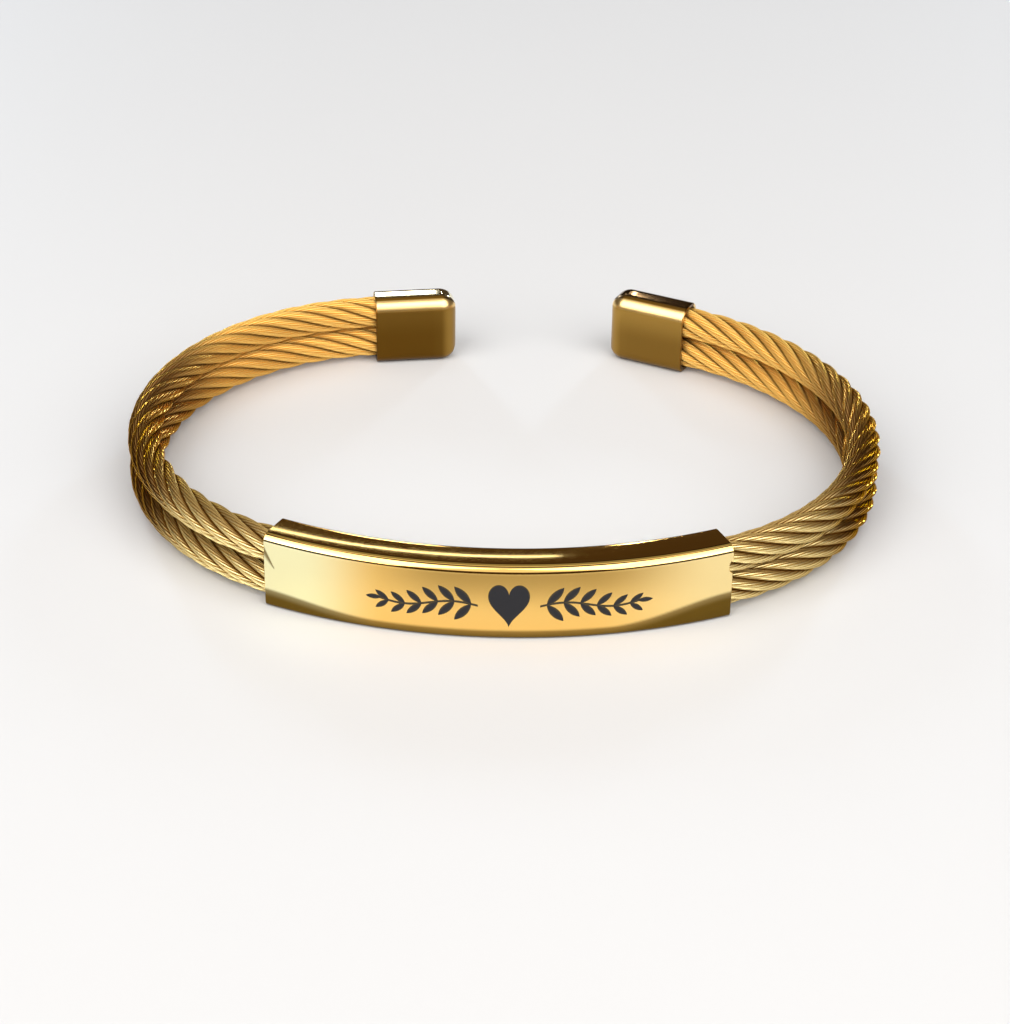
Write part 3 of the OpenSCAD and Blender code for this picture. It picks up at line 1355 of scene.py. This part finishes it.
@dataclass
class Studio:
    """Floor, lights, surroundings and the camera at the photograph's angle."""

    target: Vector
    floor_size: float = 4.0
    camera_distance: float = 0.2187
    camera_azimuth: float = 1.026
    camera_elevation: float = 29.675
    camera_roll: float = 0.842
    focal_pixels: float = 2471.5
    frame_pixels: float = 1024.0
    axis_right_pixels: float = -1.24
    axis_above_pixels: float = 39.89
    sensor: float = 36.0
    nearest: float = 0.01
    surroundings: Colour = (0.06, 0.038, 0.018)

    def floor(self) -> None:
        """Makes the floor as one flat sheet under the bangle."""
        half = self.floor_size / 2
        mesh = bpy.data.meshes.new("studio_floor")
        corners = [(-half, -half, 0), (half, -half, 0), (half, half, 0), (-half, half, 0)]
        mesh.from_pydata(corners, [], [(0, 1, 2, 3)])
        floor = bpy.data.objects.new("studio_floor", mesh)
        paper = PaleFloor("pale_floor", light=(0.70, 0.69, 0.68), shade=(0.67, 0.66, 0.65))
        floor.data.materials.append(paper.material())
        bpy.context.scene.collection.objects.link(floor)

    def world(self) -> None:
        """Makes the dim warm surroundings that the gold mirrors between the lights."""
        world = bpy.data.worlds.new("studio")
        world.use_nodes = True
        world.node_tree.nodes["Background"].inputs["Color"].default_value = (*self.surroundings, 1)
        bpy.context.scene.world = world

    def lights(self) -> None:
        """Makes the panels: three at the front, a wide one overhead, and five small ones behind."""
        for panel in (
            Panel("left_softbox", -46, 43, 0.60, 0.52, 0.56, 3.1),
            Panel("right_softbox", 47, 43, 0.60, 0.52, 0.56, 3.1),
            Panel("front_softbox", 0, 50, 0.62, 0.50, 0.60, 1.0),
            Panel("overhead_softbox", 180, 73, 0.65, 0.55, 0.42, 1.2),
            Panel("back_strip", 187.5, 33.4, 0.60, 0.15, 0.005, 6.0, (0.75, 0.87, 1.0)),
            Panel("left_cap_strip", 184.4, 24.8, 0.54, 0.026, 0.055, 7.0),
            Panel("right_cap_spot", 177.1, 25.5, 0.54, 0.006, 0.04, 25.0),
            Panel("left_glint", 205, 17, 0.60, 0.05, 0.09, 50.0, (0.66, 0.82, 1.0)),
            Panel("right_glint", 155, 17, 0.60, 0.05, 0.09, 50.0, (0.66, 0.82, 1.0)),
        ):
            panel.build(self.target)

    def camera(self) -> None:
        """Makes the camera, which looks at the middle of the cuff, with the frame shifted to suit.

        Its focal length and its shifts are those in pixels over the frame's, the first times the
        sensor's width.
        """
        lens = bpy.data.cameras.new("camera")
        lens.sensor_width = self.sensor
        lens.lens = self.focal_pixels / self.frame_pixels * self.sensor
        lens.shift_x = -self.axis_right_pixels / self.frame_pixels
        lens.shift_y = -self.axis_above_pixels / self.frame_pixels
        lens.clip_start = self.nearest
        camera = bpy.data.objects.new("camera", lens)
        place = self.target + self.camera_distance * direction(self.camera_azimuth, self.camera_elevation)
        look = (self.target - place).to_track_quat("-Z", "Y").to_matrix()
        roll = Matrix.Rotation(math.radians(self.camera_roll), 3, "Z")
        camera.matrix_world = Matrix.Translation(place) @ (look @ roll).to_4x4()
        bpy.context.scene.collection.objects.link(camera)
        bpy.context.scene.camera = camera

    def build(self) -> None:
        """Makes the whole studio."""
        self.floor()
        self.world()
        self.lights()
        self.camera()
        bpy.context.scene.view_settings.view_transform = "Standard"


def main() -> None:
    """Builds the bangle's pieces in order, then the studio."""
    logging.basicConfig(level=logging.INFO, format="%(message)s")
    bar_low, bar_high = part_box("engraved_bar")
    cuff_w = (bar_high.z - bar_low.z) / MM
    bar_t, cap_t = 3.4, 3.5
    bar_r, bar_half = 43.0, 18.6
    channel_w, channel_h, channel_round = 3.0, 6.0, 1.16
    middle = ((bar_low.x + bar_high.x) / MM / 2, bar_low.y / MM + bar_t / 2, cuff_w / 2)
    path = CuffPath(
        middle,
        bar=Bend(radius=bar_r, sweep=math.degrees(bar_half / bar_r)),
        left=(Bend(radius=22.9, sweep=104.0), Bend(radius=21.5, sweep=42.0)),
        right=(Bend(radius=22.6, sweep=98.2), Bend(radius=25.5, sweep=32.0)),
        socket=4.95,
    )

    # Pale is a painted reflection; shaded is painted shade and dark reflection.
    gold = PolishedGold(
        "polished_gold",
        warm=(1.0, 0.64, 0.19),
        pale=(1.0, 0.95, 0.56),
        shaded=(0.15, 0.088, 0.013),
    )
    # The caps' darker shaded colour is painted shade and dark reflection on their faces.
    cap_gold = PolishedGold(
        "polished_cap_gold",
        warm=(1.0, 0.62, 0.15),
        pale=(1.0, 0.92, 0.65),
        shaded=(0.14, 0.067, 0.008),
        mirror=0.08,
        brushed=0.3,
    )
    # Front is painted paler as a reflection; bend and groove are painted shade.
    wire = PlatedWire(
        "plated_wire",
        front=(1.0, 0.85, 0.42),
        back=(0.91, 0.61, 0.18),
        bend=(0.48, 0.285, 0.1),
        groove=(0.16, 0.06, 0.004),
        rim=(0.93, 0.62, 0.24),
    )
    dark = DarkEngraving("dark_engraving", dark=(0.018, 0.018, 0.022), rim=(0.09, 0.065, 0.02))

    bar_outline = Outline(bar_t, cuff_w, rounds=(0.3, 0.76, 0.5, 0.5), crown=0.035, front_steps=60)
    cap_outline = Outline(cap_t, cuff_w, rounds=(1.0, 1.3, 1.3, 1.0), crown=0.03)
    bar_channel = Outline(channel_w, channel_h, rounds=(channel_round,) * 4, front_steps=60)
    cap_channel = Outline(channel_w, channel_h, rounds=(channel_round,) * 4)
    cap_shape = (path, cap_gold, cap_outline, cap_channel)
    pieces = [
        EngravedBar(path, gold, bar_outline, bar_channel),
        Engraving(path, dark, face_out=bar_t / 2),
        Cable("upper_cable_strands", "upper_cable", path, wire, start_turn=0.3),
        Cable("lower_cable_strands", "lower_cable", path, wire, start_turn=0.75),
        # Painted shade on the caps: the left face darkest, the right top dark.
        EndCap(Side.LEFT, *cap_shape, face_shade=1.0, top_shade=0.0, face_fade=0.05),
        EndCap(Side.RIGHT, *cap_shape, face_shade=0.88, top_shade=0.95),
    ]
    for piece in pieces:
        built = piece.build()
        LOG.info("%s: %d faces", built.name, len(built.data.polygons))

    aim_left, aim_back = 0.06, 25.0
    target = Vector((middle[0] - aim_left, middle[1] + aim_back, 0.0)) * MM
    Studio(target).build()


if __name__ == "__main__":
    main()
